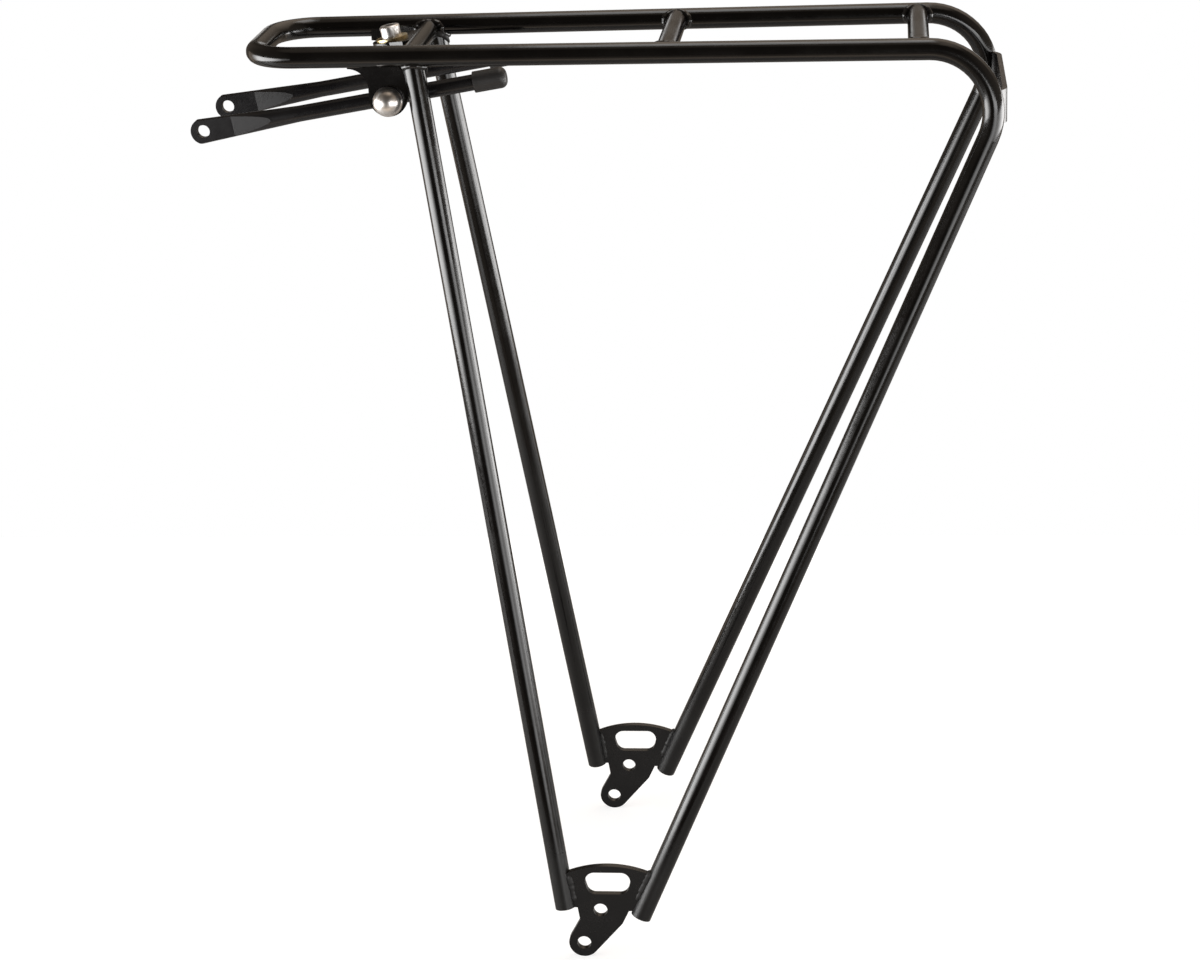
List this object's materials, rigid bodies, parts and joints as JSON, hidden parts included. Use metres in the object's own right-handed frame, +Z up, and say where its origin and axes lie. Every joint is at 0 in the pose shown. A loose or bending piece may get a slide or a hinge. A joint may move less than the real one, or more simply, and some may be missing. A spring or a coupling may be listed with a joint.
{
  "type": "rear rack",
  "caption": "Slim tubular bicycle rear rack with open deck, two-hole feet, swivelling stay rods, mudguard tab and rear light plate.",
  "frame": {"origin": "on the bicycle's middle plane, midway between the two lower foot holes", "axes": "+X to the rear of the bicycle, +Y to its right, +Z up"},
  "size_m": [0.3428, 0.16, 0.403],
  "materials": {
    "gloss_black_paint": "glossy",
    "satin_black_paint": "satin",
    "black_coated_steel": "satin",
    "black_plastic": "matte",
    "polished_steel": "polished",
    "yellow_zinc": "satin",
    "bright_zinc": "bright"
  },
  "bodies": {
    "frame": {"main_tube": "gloss_black_paint", "tube_end_caps": "gloss_black_paint", "cross_tube_front": "gloss_black_paint", "cross_tube_middle": "gloss_black_paint", "cross_tube_rear": "gloss_black_paint", "front_strut_left": "gloss_black_paint", "foot_plate_left": "satin_black_paint", "clamp_tab_left": "satin_black_paint", "front_strut_right": "gloss_black_paint", "foot_plate_right": "satin_black_paint", "clamp_tab_right": "satin_black_paint", "guard_tab": "satin_black_paint", "guard_screw": "bright_zinc", "guard_washer": "yellow_zinc", "guard_nut": "bright_zinc", "light_plate": "satin_black_paint"},
    "clamp_left": {"clamp_stud_left": "black_coated_steel", "clamp_collar_left": "black_coated_steel", "clamp_washer_left": "polished_steel", "dome_nut_left": "polished_steel"},
    "stay_left": {"stay_rod_left": "black_coated_steel", "rod_cap_left": "black_plastic"},
    "clamp_right": {"clamp_stud_right": "black_coated_steel", "clamp_collar_right": "black_coated_steel", "clamp_washer_right": "polished_steel", "dome_nut_right": "polished_steel"},
    "stay_right": {"stay_rod_right": "black_coated_steel", "rod_cap_right": "black_plastic"}
  },
  "joints": [
    {"name": "clamp_left_swivel", "type": "hinge", "parent": "frame", "child": "clamp_left", "pos_m": [-0.0723, -0.03226, 0.3698], "axis": [0, 1, 0], "range_deg": [-20, 15]},
    {"name": "stay_left_slide", "type": "slide", "parent": "clamp_left", "child": "stay_left", "axis": [0.9871, 0, 0.1599], "range_m": [-0.027, 0.03]},
    {"name": "clamp_right_swivel", "type": "hinge", "parent": "frame", "child": "clamp_right", "pos_m": [-0.0723, 0.03226, 0.3698], "axis": [0, 1, 0], "range_deg": [-20, 15]},
    {"name": "stay_right_slide", "type": "slide", "parent": "clamp_right", "child": "stay_right", "axis": [0.9871, 0, 0.1599], "range_m": [-0.027, 0.03]}
  ]
}
